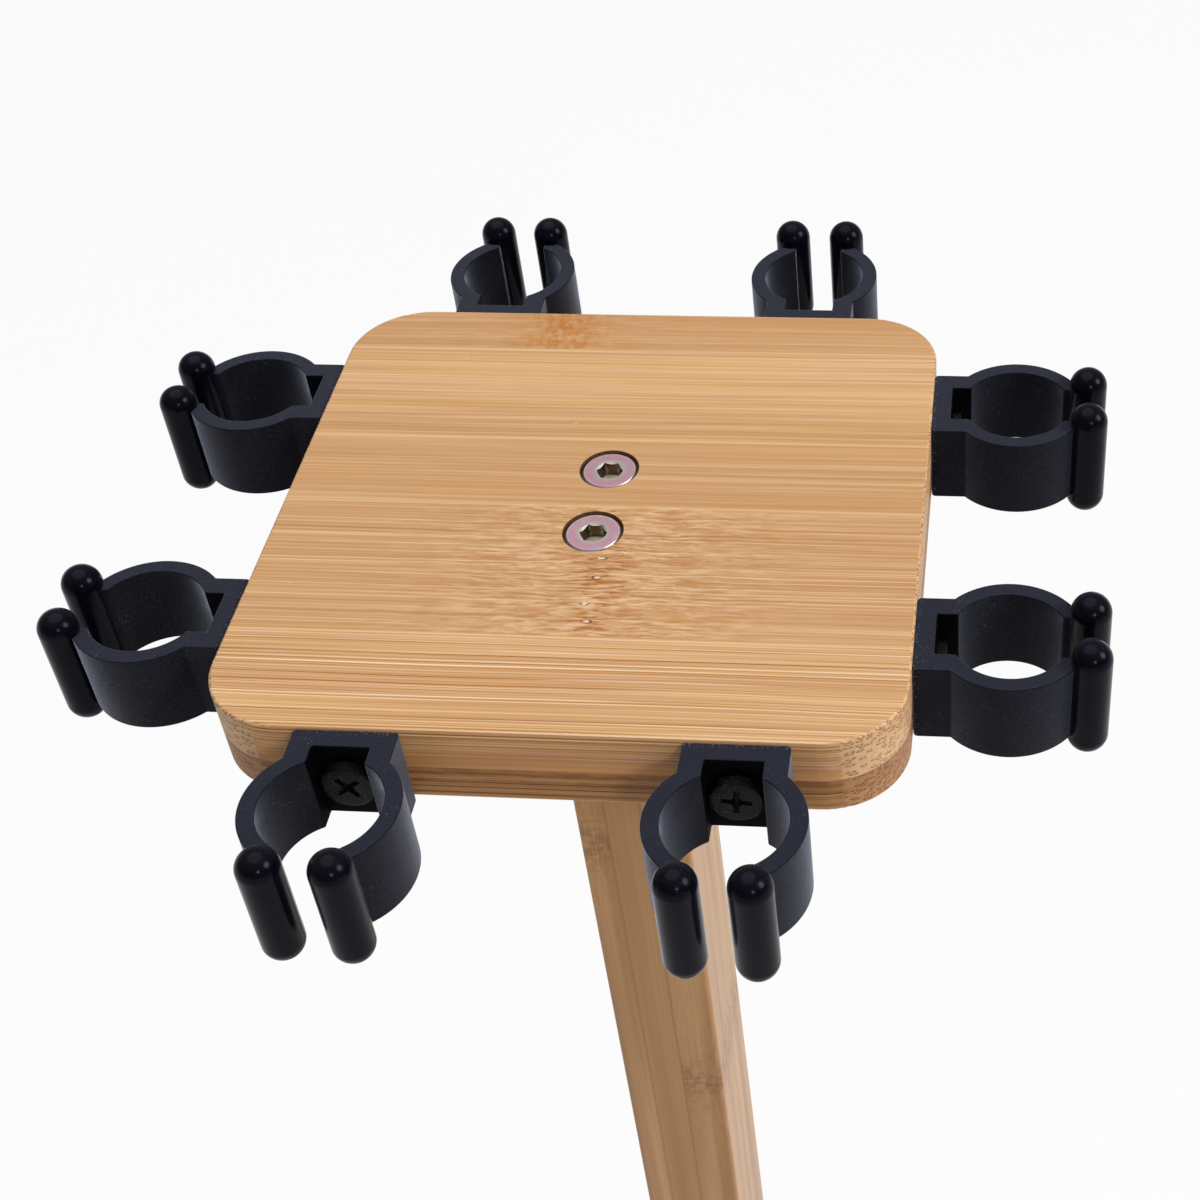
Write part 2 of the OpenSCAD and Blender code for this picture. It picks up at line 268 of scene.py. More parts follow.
# Eyes of a knot: cell along and across the grain, half width of their column, distance to a joint
EYE_CELL, EYE_COLUMN, EYE_TO_JOINT = (9.0, 4.4), (4.6, 4.2), (3.2, 2.2)
# What spreads the slats over the noise: weights of knot and tone, and the spread itself
KNOT_SHUFFLE, TONE_SHUFFLE, SLAT_SPREAD = 391.7, 53.1, 731.0
# Ruled lines: gap, half width, place in the noise, least and most strength
PALE_LINES = (1.10, 0.19, 4.1, 0.20, 1.0)
THIN_LINES = (0.72, 0.11, 2.7, 0.15, 0.95)
MAIN_LINES = (1.55, 0.16, 1.3, 0.12, 0.95)
# Fibre bundles: size, radius of the ring as a share of it, share of cells filled deep in the board
WIDE_BUNDLES = (1.02, 0.26, 0.72)
FINE_BUNDLES = (0.58, 0.25, 0.45)
# Share of cells filled in the board's dense skin
SKIN_SHARE = 0.95


def slats(edges, seed, known=None, reach=(-60, 60)):
    """Slats between the edges: (far edge, how clear its eyes are, place of the knot along the grain,
    how deep its tone is, how clear its lines are). known gives these four for some slats."""
    rand = random.Random(seed)
    rows = []
    for k, edge in enumerate(edges):
        guess = (rand.uniform(0.0, 0.6), rand.uniform(*reach), rand.random(), rand.uniform(0.15, 0.75))
        rows.append((edge, *(known or {}).get(k, guess)))
    return rows


class Board:
    """Where a point lies in a laminated board and in its slat, and how the fibres run there.
    axes: along the grain, across the slats, through them. rows: the slats from start up.
    skin: where through the board the fibre bundles are dense, and where they are sparse.

    A board then holds, for the point that is shaded: along, across and through, its place; eyes,
    tone and clear, what its slat is like; offset, where its slat lies in the noise; from_knot, the
    way to its knot; swirl and core, how near that is; u and v, its place across and through as the
    fibres wander; end, face and flat, the kind of face; depth, in_skin and lined, what shows there."""

    def __init__(self, name, axes, rows, start, skin, seed):
        g = self.graph = Graph(name)
        self.seed = seed
        self.position, self.place = g.place()
        self.along, self.across, self.through = (self.place[a] for a in axes)
        self.joints = [row[0] for row in rows[:-1]]
        self.read_slats(rows, start)
        self.swirl = g.mul(self.bell(SWIRL_REACH), g.add(0.25, g.mul(self.eyes, 0.75)))
        self.core = g.mul(self.bell(CORE_REACH), self.eyes)
        self.wander()

        # Which kind of face this is: end grain, or a face along the grain, flat or upright
        facing = g.facing()
        self.end = g.step(facing[axes[0]], 0.22, 0.36)
        self.face = g.sub(1.0, self.end)
        self.flat = g.step(facing[axes[2]], 0.35, 0.75)

        # Where fibres and lines show: everywhere on a flat face, and less and less below the skin
        self.depth = g.step(self.through, *skin, smooth=False)
        self.over_face = g.add(g.mul(self.u, self.flat), g.mul(self.v, g.sub(1.0, self.flat)))
        fade = g.mul(self.depth, g.sub(1.0, g.mul(self.flat, 0.9)))
        self.in_skin = g.mul(self.face, g.sub(1.0, fade))
        self.lined = g.mul(g.add(self.clear, 0.05), self.in_skin, g.sub(1.7, g.mul(self.flat, 0.45)))

    def read_slats(self, rows, start):
        """One constant ramp holds what differs from slat to slat."""
        g = self.graph
        span = rows[-1][0] - start
        stops, low = [], 0.0
        for edge, eyes, knot, tone, clear in rows:
            stops.append((low, (eyes, (knot + KNOT_FAR) / (2 * KNOT_FAR), tone, clear)))
            low = (edge - start) / span
        where = g.math("DIVIDE", g.sub(self.across, start), span, clamp=True)
        held = g.ramp(where, stops, constant=True)
        self.eyes, knot_share, self.tone = g.channels(held)
        self.clear = held.node.outputs["Alpha"]
        shuffled = g.add(g.mul(knot_share, KNOT_SHUFFLE), g.mul(self.tone, TONE_SHUFFLE))
        self.offset = g.mul(g.math("FRACT", shuffled), SLAT_SPREAD)
        knot_at = g.sub(g.mul(knot_share, 2 * KNOT_FAR), KNOT_FAR)
        self.from_knot = g.math("WRAP", g.sub(self.along, knot_at), KNOT_GAP / 2, -KNOT_GAP / 2)

    def bell(self, width):
        """1 at a knot, falling off along the grain over the width."""
        g = self.graph
        t = g.math("DIVIDE", self.from_knot, width)
        return g.math("EXPONENT", g.mul(t, t, -1.0))

    def by_joint(self, far, close):
        """1 within close of a joint between slats, 0 beyond far."""
        g = self.graph
        return g.highest(*(g.step(g.math("ABSOLUTE", g.sub(self.across, edge)), far, close)
                           for edge in self.joints))

    def drift(self, fa, fu, fv, shift):
        """A slow change about 0 along the board, at the three frequencies."""
        g = self.graph
        return g.sub(g.noise(g.vector(g.add(g.mul(self.along, fa), self.seed + shift),
                                      g.add(g.mul(self.across, fu), self.offset),
                                      g.mul(self.through, fv))), 0.5)

    def wander(self):
        """Sets u and v, the place across and through the board along the fibres. They wander slowly,
        and swirl round a knot."""
        g = self.graph
        self.u = g.add(self.across, g.mul(self.drift(0.007, 0.03, 0.05, 0), 2.6),
                       g.mul(self.drift(0.085, 0.26, 0.3, 57), self.swirl, 2.8), self.offset)
        self.v = g.add(self.through, g.mul(self.drift(0.010, 0.10, 0.05, 31), 1.6),
                       g.mul(self.drift(0.12, 0.40, 0.3, 83), self.swirl, 5.0), g.mul(self.offset, 0.37))

    def fibres(self, fa, fu, fv, shift=0.0):
        """A place in the noise, drawn out along the fibres by the three frequencies."""
        g = self.graph
        return g.vector(g.add(g.mul(self.along, fa), shift), g.mul(self.u, fu), g.mul(self.v, fv))

    def streak(self, fa, fu, shift, detail=2.0):
        """Long streaks: fa is their frequency along the fibres, and fu across them."""
        return self.graph.noise(self.fibres(fa, fu, fu, self.seed + shift), detail)

    def ruled(self, gap, half, shift, least, most):
        """Lines side by side along the faces, at uneven gaps; each fades in and out by itself."""
        g = self.graph
        shift = self.seed + shift
        cells = g.voronoi(g.add(g.math("DIVIDE", self.over_face, gap), shift), "1D", 0.85)
        own_x, own_y, own_strength = g.channels(cells["Color"])
        fading = g.noise(g.vector(g.add(g.mul(self.along, 0.014), shift), g.mul(own_x, 61.0),
                                  g.mul(own_y, 37.0)), 1.5)
        amount = g.add(least, g.mul(g.step(fading, 0.34, 0.60), own_strength, most - least))
        line = g.step(cells["Distance"], half * 1.4 / gap, half * 0.3 / gap)
        return g.math("MINIMUM", g.mul(line, amount, self.lined), 1.0)

    def bundles(self, size, ring, share_deep):
        """Fibre bundles in the end grain: crescents, and the paler middle that each one holds."""
        g = self.graph
        at = g.vector(g.math("DIVIDE", self.u, size * 1.2), g.math("DIVIDE", self.v, size))
        cells = g.voronoi(at, "2D", 0.80)
        own = g.channels(cells["Color"])[0]
        share = g.add(SKIN_SHARE, g.mul(self.depth, share_deep - SKIN_SHARE))
        filled = g.step(g.sub(share, own), 0.0, 0.10)
        away = g.node("ShaderNodeVectorMath", operation="SUBTRACT")
        g.put(away.inputs[0], at)
        g.put(away.inputs[1], cells["Position"])
        heavy = g.add(0.62, g.mul(g.step(g.split(away.outputs[0])[1], 0.15, -0.25), 0.38))
        from_ring = g.math("ABSOLUTE", g.sub(cells["Distance"], ring))
        return (g.mul(g.step(from_ring, 0.15, 0.04), heavy, filled),
                g.mul(g.step(cells["Distance"], ring * 0.9, 0.0), filled))

    def eye_marks(self):
        """Broken rings and dots of the small eyes in a knot's column."""
        g = self.graph
        at = g.vector(g.add(g.math("DIVIDE", self.from_knot, EYE_CELL[0]), 0.5),
                      g.math("DIVIDE", self.across, EYE_CELL[1]))
        cells = g.voronoi(at, "2D", 0.70)
        own = g.channels(cells["Color"])[0]
        near = g.mul(g.step(g.math("ABSOLUTE", self.from_knot), *EYE_COLUMN), g.step(self.eyes, 0.55, 0.85),
                     g.step(own, 0.72, 0.68), g.sub(1.0, self.by_joint(*EYE_TO_JOINT)))
        uneven = g.mul(g.sub(g.noise(self.position, scale=1.6), 0.5), 0.10)
        distance = g.add(cells["Distance"], uneven)
        broken = g.step(g.noise(self.position, 1.0, scale=0.9), 0.42, 0.56)
        ring = g.step(g.math("ABSOLUTE", g.sub(distance, 0.105)), 0.045, 0.012)
        return g.mul(ring, near, broken), g.mul(g.step(distance, 0.10, 0.05), near)


def ground_colour(board, colours, band):
    """Broad bands with a pink or yellow cast, in the slat's own tone."""
    g = board.graph
    bands = board.streak(0.0045, 0.13, 5)
    cast = board.streak(0.009, 0.30, 17, detail=1.0)
    ground = g.mix(g.step(bands, 0.36, 0.64), colours["pale"], colours["deep"])
    ground = g.tint(ground, colours["pink"], g.step(cast, 0.52, 0.70), 0.30)
    ground = g.tint(ground, colours["honey"], g.step(cast, 0.47, 0.34), 0.45)
    ground = g.tint(ground, colours["deep"], board.tone, 0.80)
    # Upright faces along the grain are multiplied by the side tint: painted light and shade
    ground = g.mix(g.mul(g.sub(1.0, board.flat), board.face), ground, colours["side"], "MULTIPLY")
    if band:
        full, gone = band
        mottle = g.step(g.noise(board.fibres(0.16, 0.5, 0.9), 3.0, 0.6), 0.38, 0.62)
        ground = g.tint(ground, colours["band"], g.step(board.through, gone, full),
                        g.add(0.35, g.mul(mottle, 0.65)), 0.8)
    return ground


def add_knots(board, colour, colours):
    """Short strokes, a reddish column and a few small eyes, or only an orange patch. Gives the
    colour, and how deep the marks lie."""
    g = board.graph
    strokes = g.noise(board.fibres(0.15, 1.15, 0.85))
    mottle = g.noise(board.fibres(0.60, 0.36, 0.36), 3.0, 0.55)
    colour = g.tint(colour, colours["orange"], board.bell(PATCH_REACH), g.sub(1.0, board.eyes),
                    board.face, 0.90, g.step(mottle, 0.30, 0.68))
    colour = g.tint(colour, colours["cream"], board.swirl, g.step(strokes, 0.47, 0.36), 0.36)
    amount = g.mul(g.add(g.mul(board.core, 0.70), g.mul(board.swirl, 0.48)), board.face)
    dashes = g.mul(g.step(strokes, 0.53, 0.62), g.math("MINIMUM", amount, 0.80))
    colour = g.mix(dashes, colour, colours["knot"])
    colour = g.tint(colour, colours["red"], board.core, g.step(strokes, 0.42, 0.66), 0.55)
    eye_ring, eye_dot = board.eye_marks()
    colour = g.tint(colour, colours["cream"], eye_dot, 0.80)
    colour = g.tint(colour, colours["eye"], eye_ring, 0.85)
    return colour, g.add(g.mul(dashes, 0.4), eye_ring)


def bamboo(board, colours, band=None, fibre=1.0, coat=0.10, bundle=1.0, bores=None):
    """Lacquered bamboo. band: where through the board a dark mottled layer is full, and gone.
    fibre: how strongly the finest streaks show. coat: how much clear lacquer lies on it.
    bundle: size of the fibre bundles in the end grain. bores: radius of the bolt holes, whose walls are drawn
    dark brown."""
    g = board.graph
    threads = board.streak(0.007, 1.25, 29)
    main_lines = board.ruled(*MAIN_LINES)
    colour = ground_colour(board, colours, band)
    colour = g.mix(board.ruled(*PALE_LINES), colour, colours["cream"])
    colour = g.mix(board.ruled(*THIN_LINES), colour, colours["thin"])
    colour = g.mix(main_lines, colour, colours["line"])
    colour = g.tint(colour, colours["thin"], g.step(threads, 0.50, 0.68), board.face, 0.22 * fibre)
    colour = g.tint(colour, colours["cream"], g.step(threads, 0.48, 0.32), board.face, 0.20 * fibre)

    # Rings show in full on the end grain, and only faintly along the faces
    wide, middle = board.bundles(WIDE_BUNDLES[0] * bundle, *WIDE_BUNDLES[1:])
    fine, _ = board.bundles(FINE_BUNDLES[0] * bundle, *FINE_BUNDLES[1:])
    ring = g.add(g.mul(board.end, 0.95), g.mul(board.in_skin, board.clear, 0.16))
    colour = g.tint(colour, colours["end"], board.end, 0.50)
    colour = g.tint(colour, colours["thin"], fine, ring, 0.45)
    colour = g.tint(colour, colours["bundle"], wide, ring)
    colour = g.tint(colour, colours["cream"], middle, board.end, 0.35)
    colour, knot_depth = add_knots(board, colour, colours)

    # Joints between slats, dark brown walls in the bolt holes, and a few pale nicks in the lacquer
    colour = g.tint(colour, colours["joint"], board.by_joint(0.55, 0.10), 0.55)
    if bores:
        in_hole = g.step(g.from_bolt(board.place), bores + 0.16, bores + 0.02)
        colour = g.tint(colour, DARK_HOLE_WALL, in_hole, 0.90)
    nick_cells = g.voronoi(g.vector(g.mul(board.along, 0.030), g.mul(board.across, 0.075),
                                    g.mul(board.through, 0.12)))
    nick = g.step(nick_cells["Distance"], 0.022, 0.010)
    colour = g.tint(colour, NICKED, nick, 0.40)

    # Lacquer: satin, a little rougher on the end grain, with the lines telegraphing through
    rough = g.add(0.42, g.mul(threads, 0.10), g.mul(main_lines, 0.08), g.mul(board.end, 0.12))
    sunk = g.add(g.mul(main_lines, 0.7), g.mul(wide, ring, 0.2), knot_depth, nick)
    height = g.sub(g.mul(threads, 0.45), sunk)
    return g.finish(Base_Color=colour, Roughness=rough, Normal=g.bump(height, 0.030, 0.8),
                    Specular_IOR_Level=0.10, Coat_Weight=coat, Coat_Roughness=0.22)


# Dark brown for the walls of the bolt holes, and a pale colour for nicks in the lacquer
DARK_HOLE_WALL, NICKED = srgb(70, 41, 19), srgb(238, 218, 190)

# Upper ply, lower ply and post. side tints the faces that stand upright between the ply's faces, as painted
# light and shade for how light falls on them
PALE = {"pale": srgb(225, 182, 131), "deep": srgb(199, 151, 104), "pink": srgb(208, 157, 115),
        "honey": srgb(225, 178, 113), "cream": srgb(246, 216, 180), "thin": srgb(186, 125, 62),
        "line": srgb(167, 103, 40), "end": srgb(232, 194, 154), "bundle": srgb(134, 82, 42),
        "orange": srgb(189, 118, 44), "knot": srgb(168, 106, 52), "red": srgb(170, 103, 52),
        "eye": srgb(84, 54, 36), "joint": srgb(232, 195, 140), "side": (1.0, 0.86, 0.77, 1.0)}
BROWN = {"pale": srgb(192, 141, 90), "deep": srgb(178, 126, 78), "pink": srgb(172, 119, 78),
         "honey": srgb(188, 134, 74), "cream": srgb(212, 164, 108), "thin": srgb(146, 94, 52),
         "line": srgb(106, 62, 29), "end": srgb(202, 154, 116), "bundle": srgb(100, 60, 36),
         "orange": srgb(150, 93, 44), "knot": srgb(124, 77, 42), "red": srgb(124, 75, 40),
         "eye": srgb(70, 44, 28), "joint": srgb(158, 110, 64), "band": srgb(138, 82, 40),
         "side": (1.0, 0.98, 0.98, 1.0)}
POST = {"pale": srgb(210, 163, 110), "deep": srgb(180, 129, 78), "pink": srgb(180, 128, 84),
        "honey": srgb(200, 149, 88), "cream": srgb(220, 178, 128), "thin": srgb(158, 106, 58),
        "line": srgb(144, 94, 48), "end": srgb(170, 124, 78), "bundle": srgb(124, 79, 42),
        "orange": srgb(146, 94, 48), "knot": srgb(140, 90, 48), "red": srgb(136, 85, 44),
        "eye": srgb(90, 60, 38), "joint": srgb(162, 112, 62), "side": (1.0, 1.0, 1.02, 1.0)}


# Black moulded plastic: spark-eroded grain, a painted sheen on faces that look up, rubbed places, and dust
# specks by the plate
def clip_plastic(name, dark, light, roughness, specular, grain, dust_and_sheen):
    g = Graph(name)
    # The first colour is a painted sheen for faces that look up, lighter and bluer as light from above makes
    # them; the second marks rubbed places, the third dust specks
    painted_top_sheen, rubbed, fleck = srgb(42, 44, 56), srgb(74, 75, 82), srgb(140, 140, 142)
    place, xyz = g.place()
    fine = g.noise(place, 3.0, 0.75, scale=2.7)
    cloud = g.noise(place, 3.0, 0.6, scale=0.16)
    out = g.highest(g.math("ABSOLUTE", xyz[0]), g.math("ABSOLUTE", xyz[1]))
    by_plate = g.step(out, TOP_W / 2 + 1.6, TOP_W / 2 + 0.2)
    dusty = g.highest(g.mul(g.step(cloud, 0.56, 0.72), 0.5), by_plate)
    speck = g.mul(g.step(g.voronoi(place, scale=1.5)["Distance"], 0.30, 0.12), dusty)
    scuff = g.step(g.noise(place, 4.0, 0.7, scale=0.30), 0.60, 0.78)
    up_face = g.step(g.facing()[2], 0.55, 0.92)
    # Faces that look up are painted lighter: painted sheen, with a little of the grain in it
    painted_sheen_share = g.mul(up_face, g.add(0.65, g.mul(g.step(fine, 0.38, 0.62), 0.35)))
    base = g.mix(g.step(fine, 0.42, 0.58), dark, light)
    base = g.tint(base, painted_top_sheen, painted_sheen_share, 0.85 * dust_and_sheen)
    base = g.tint(base, rubbed, scuff, 0.22 * dust_and_sheen)
    base = g.tint(base, fleck, speck, 0.60 * dust_and_sheen)
    rough = g.add(roughness, g.mul(g.sub(cloud, 0.5), 0.14), g.mul(scuff, 0.08))
    height = g.add(fine, g.mul(speck, 0.6))
    return g.finish(Base_Color=base, Roughness=rough, Specular_IOR_Level=specular,
                    Specular_Tint=(0.84, 0.83, 1.0, 1.0), Sheen_Weight=0.68 * dust_and_sheen, Sheen_Roughness=0.34,
                    Sheen_Tint=(0.74, 0.80, 1.0, 1.0), Normal=g.bump(height, grain, 0.9))


def clip_plastics():
    """The grained body of a clip, its smooth fingers, and the walls of its pocket, darkened as painted shade.
    """
    return [clip_plastic("clip_plastic_grained", srgb(4, 4, 6), srgb(23, 23, 33),
                         roughness=0.50, specular=0.06, grain=0.11, dust_and_sheen=1.0),
            clip_plastic("clip_plastic_smooth", srgb(4, 3, 9), srgb(8, 7, 16),
                         roughness=0.20, specular=0.080, grain=0.008, dust_and_sheen=0.2),
            # Pocket walls: darker and without sheen, as painted shade
            clip_plastic("clip_plastic_pocket_painted_shade", srgb(3, 3, 4), srgb(9, 9, 11),
                         roughness=0.60, specular=0.03, grain=0.04, dust_and_sheen=0.0)]


# Black finish on the clips' screws, worn to bright flecks in places, and darkened further as painted shade of
# the pocket they sit in
def black_screw():
    g = Graph("screw_black")
    place, _ = g.place()
    grit = g.noise(place, 3.0, 0.75, scale=2.6)
    worn = g.step(g.noise(place, scale=0.35), 0.42, 0.62)
    spark = g.mul(g.step(g.voronoi(place, scale=2.1)["Distance"], 0.30, 0.12), worn)
    # Black finish, made deeper than the finish alone as painted shade
    base = g.mix(g.step(grit, 0.42, 0.62), srgb(2, 2, 3), srgb(18, 18, 21))
    base = g.tint(base, srgb(140, 140, 143), spark, 0.55)
    rough = g.add(0.36, g.mul(grit, 0.28))
    return g.finish(Base_Color=base, Roughness=rough, Specular_IOR_Level=0.12,
                    Normal=g.bump(g.add(grit, g.mul(spark, 0.5)), 0.16, 1.0))


# Zinc plate with a pink and gold bloom, ringed about each bolt's axis, and a socket with painted shade on its
# walls and a painted highlight on its floor
def bloomed_zinc():
    g = Graph("bolt_bloomed_zinc")
    haze, gold, shade = (0.58, 0.50, 0.52, 1.0), (0.72, 0.62, 0.30, 1.0), (0.13, 0.09, 0.065, 1.0)
    place, xyz = g.place()
    blot = g.noise(place, 3.0, 0.6, scale=0.9)
    smear = g.noise(place, 4.0, 0.7, scale=2.4)
    radius = g.add(g.from_bolt(xyz), g.mul(g.sub(blot, 0.5), 1.1))
    # The two innermost stops, on the socket's floor, are yellow zinc brightened as a painted highlight; the
    # others are the bloom's rings
    rings = [(0.00, (0.95, 0.88, 0.66)), (0.40, (0.92, 0.80, 0.50)), (0.46, (0.58, 0.53, 0.48)),
             (0.58, (0.54, 0.42, 0.45)), (0.74, (0.66, 0.33, 0.42)), (0.88, (0.63, 0.38, 0.45)),
             (0.97, (0.66, 0.64, 0.62))]
    colour = g.ramp(g.math("DIVIDE", radius, BOLT_HEAD_D / 2, clamp=True), rings)
    colour = g.tint(colour, haze, g.step(g.noise(place, scale=0.20), 0.46, 0.66), 0.35)
    colour = g.tint(colour, gold, g.step(g.noise(place, scale=0.55), 0.58, 0.72), 0.35)
    # Upright walls inside the socket take the dark shade colour: painted shade
    inside = g.step(radius, BOLT_HEAD_D * 0.27, BOLT_HEAD_D * 0.22)
    upright = g.step(g.facing()[2], 0.6, 0.2)
    colour = g.tint(colour, shade, inside, upright)
    rough = g.add(0.30, g.mul(smear, 0.22), g.mul(inside, g.sub(0.22, g.mul(upright, 0.40))))
    metallic = g.sub(1.0, g.mul(inside, g.sub(1.0, upright), 0.75))
    return g.finish(Base_Color=colour, Metallic=metallic, Roughness=rough, Normal=g.bump(smear, 0.03, 0.7))


def plain_zinc(name, colour, rubbed):
    g = Graph(name)
    place, _ = g.place()
    smear = g.noise(place, 4.0, 0.65, scale=1.8)
    base = g.mix(g.step(smear, 0.40, 0.66), colour, rubbed)
    return g.finish(Base_Color=base, Metallic=1.0, Roughness=g.add(0.24, g.mul(smear, 0.26)),
                    Normal=g.bump(smear, 0.04, 0.7))


def foot_rubber():
    g = Graph("foot_rubber")
    place, xyz = g.place()
    fine = g.noise(place, 3.0, 0.6, scale=3.0)
    cloud = g.noise(place, 3.0, 0.6, scale=0.25)
    near_floor = g.step(xyz[2], 1.6, 0.2)
    base = g.mix(g.step(fine, 0.35, 0.70), srgb(26, 26, 27), srgb(40, 40, 41))
    base = g.tint(base, srgb(96, 94, 90), near_floor, g.step(cloud, 0.40, 0.62), 0.5)
    return g.finish(Base_Color=base, Roughness=g.add(0.66, g.mul(cloud, 0.18)),
                    Normal=g.bump(fine, 0.05, 0.8))


# Meshes, in millimetres
def mesh_object(name, bm, angle=SHARP):
    """Makes an object of a bmesh drawn in millimetres and frees it."""
    bmesh.ops.recalc_face_normals(bm, faces=bm.faces)
    bm.transform(Matrix.Scale(MM, 4))
    data = bpy.data.meshes.new(name)
    bm.to_mesh(data)
    bm.free()
    data.shade_smooth()
    data.set_sharp_from_angle(angle=math.radians(angle))
    piece = bpy.data.objects.new(name, data)
    bpy.context.scene.collection.objects.link(piece)
    return piece


def corners(bm, points, z):
    return [bm.verts.new((x, y, z)) for x, y in points]


def walls(bm, low, high):
    """Faces from one loop of corners to the next one."""
    for k in range(len(low)):
        n = (k + 1) % len(low)
        bm.faces.new((low[k], low[n], high[n], high[k]))


def prism(low_points, low_z, high_points, high_z):
    """Closed solid between two outlines with as many points."""
    bm = bmesh.new()
    low, high = corners(bm, low_points, low_z), corners(bm, high_points, high_z)
    bm.faces.new(list(reversed(low)))
    bm.faces.new(high)
    walls(bm, low, high)
    return bm


def arc(cx, cy, r, start, end, count):
    return [(cx + r * math.cos(start + (end - start) * k / count),
             cy + r * math.sin(start + (end - start) * k / count)) for k in range(count + 1)]


def lathe(profile, segments=96):
    """Closed solid of revolution about z, from (radius, height) points that start and end on the axis."""
    bm = bmesh.new()
    rings = []
    for r, z in profile:
        around = [(0, 0)] if r == 0 else arc(0, 0, r, 0, 2 * math.pi, segments)[:-1]
        rings.append(corners(bm, around, z))
    for low, high in zip(rings, rings[1:]):
        if len(low) == len(high):
            walls(bm, low, high)
            continue
        for k in range(segments):
            n = (k + 1) % segments
            if len(low) == 1:
                bm.faces.new((low[0], high[n], high[k]))
            else:
                bm.faces.new((low[k], low[n], high[0]))
    return bm


def threaded(r, top, bottom, tip, pitch, depth, tip_r, segments=48, per_turn=10):
    """Shank from z = top down to bottom with a right-hand thread, and a tapered tip."""
    bm = bmesh.new()
    rows = max(2, round((top - bottom) / pitch * per_turn))
    rings = []
    for j in range(rows + 1):
        z = top - (top - bottom) * j / rows
        body = tip_r + (r - tip_r) * min(1.0, max(0.0, (z - bottom) / tip))
        run_in = min(1.0, max(0.0, (top - z) / (1.5 * pitch)))
        ring = []
        for k in range(segments):
            turn = k / segments
            groove = abs(2.0 * ((z / pitch - turn) % 1.0) - 1.0)
            thread_r = body - depth * groove * run_in * min(1.0, body / r + 0.2)
            a = 2 * math.pi * turn
            ring.append(bm.verts.new((thread_r * math.cos(a), thread_r * math.sin(a), z)))
        rings.append(ring)
    for high, low in zip(rings, rings[1:]):
        walls(bm, low, high)
    bm.faces.new(rings[0])
    bm.faces.new(list(reversed(rings[-1])))
    return bm


def joined(*parts):
    bm = bmesh.new()
    for part in parts:
        data = bpy.data.meshes.new("part")
        part.to_mesh(data)
        part.free()
        bm.from_mesh(data)
        bpy.data.meshes.remove(data)
    return bm


def cut(name, body, tools, angle=SHARP):
    """The body with the tools cut out of it, as a bmesh in millimetres."""
    target = mesh_object(name, body, angle)
    helpers = [mesh_object(name + "_tool", tool) for tool in tools]
    for helper in helpers:
        m = target.modifiers.new("cut", "BOOLEAN")
        m.object, m.operation, m.solver = helper, "DIFFERENCE", "EXACT"
    shown = target.evaluated_get(bpy.context.evaluated_depsgraph_get())
    bm = bmesh.new()
    bm.from_mesh(shown.to_mesh())
    shown.to_mesh_clear()
    bm.transform(Matrix.Scale(1 / MM, 4))
    for o in [target, *helpers]:
        data = o.data
        bpy.data.objects.remove(o)
        bpy.data.meshes.remove(data)
    return bm


def moved(x, y, z):
    return Matrix.Translation((x, y, z))


def turned(axis, angle):
    return Matrix.Rotation(angle, 4, axis)


def clip_half():
    """Right half of the clip from above: x along the plate's edge, y out from it."""
    outer, block, pocket = RING_R + RING_WALL, BLOCK_W / 2, POCKET_W / 2
    mouth_x = FINGER_X - FINGER_D / 8
    points = arc(block - BLOCK_CORNER, BLOCK_CORNER, BLOCK_CORNER, -math.pi / 2, 0, 6)
    points += arc(0, RING_REACH, outer, -math.acos(block / outer), math.acos(mouth_x / outer), 72)
    points += arc(0, RING_REACH, RING_R, math.acos(mouth_x / RING_R), -math.acos(pocket / RING_R), 56)
    points.append((pocket, POCKET_WALL))
    return points


def eased(bm, offset):
    """Rounds the sharp edges of a bmesh, and gives it back."""
    bmesh.ops.recalc_face_normals(bm, faces=bm.faces)
    sharp = [e for e in bm.edges if len(e.link_faces) == 2 and e.calc_face_angle(0.0) > math.radians(25)]
    bmesh.ops.bevel(bm, geom=sharp, offset=offset, offset_type="OFFSET", segments=3, profile=0.5,
                    affect="EDGES", clamp_overlap=True)
    return bm


def clip_body():
    """Block and ring, with the screw's hole through the pocket's floor."""
    half = clip_half()
    outline = half + [(-x, y) for x, y in reversed(half)]
    through = POCKET_WALL + 1
    hole = lathe([(0, -1), (CLIP_HOLE_R, -1), (CLIP_HOLE_R, through), (0, through)], 40)
    hole.transform(moved(0, 0, CLIP_H / 2) @ turned("X", -math.pi / 2))
    bm = cut("clip_body", eased(prism(outline, 0, outline, CLIP_H), CLIP_EASE), [hole])
    # Upright faces in the pocket take the darker material: painted shade where little light gets in
    for face in bm.faces:
        x, y, _ = face.calc_center_median()
        in_pocket = abs(x) < POCKET_W / 2 + 0.1 and 0.5 < y < RING_REACH - RING_R + 2.0
        if in_pocket and abs(face.normal.z) < 0.5:
            face.material_index = POCKET_SHADE_MATERIAL
    return bm


def clip_finger(x, y, segments=56, rings=14):
    """Upright rod with ball ends at one side of the clip's mouth."""
    r, low, high = FINGER_D / 2, -FINGER_OVER, CLIP_H + FINGER_OVER
    profile = [(0.0, low - r), *arc(0, low, r, -math.pi / 2, 0, rings)[1:],
               *arc(0, high, r, 0, math.pi / 2, rings)[:-1], (0.0, high + r)]
    bm = lathe(profile, segments)
    bm.transform(moved(x, y, 0))
    for face in bm.faces:
        face.material_index = FINGER_MATERIAL
    return bm


def clip_mesh():
    """One moulded clip with eased edges, lower face at z = 0."""
    from_ring = RING_R + RING_WALL + FINGER_D / 2 - FINGER_SET
    finger_y = RING_REACH + math.sqrt(from_ring ** 2 - FINGER_X ** 2)
    return joined(clip_body(), *(clip_finger(side * FINGER_X, finger_y) for side in (-1, 1)))


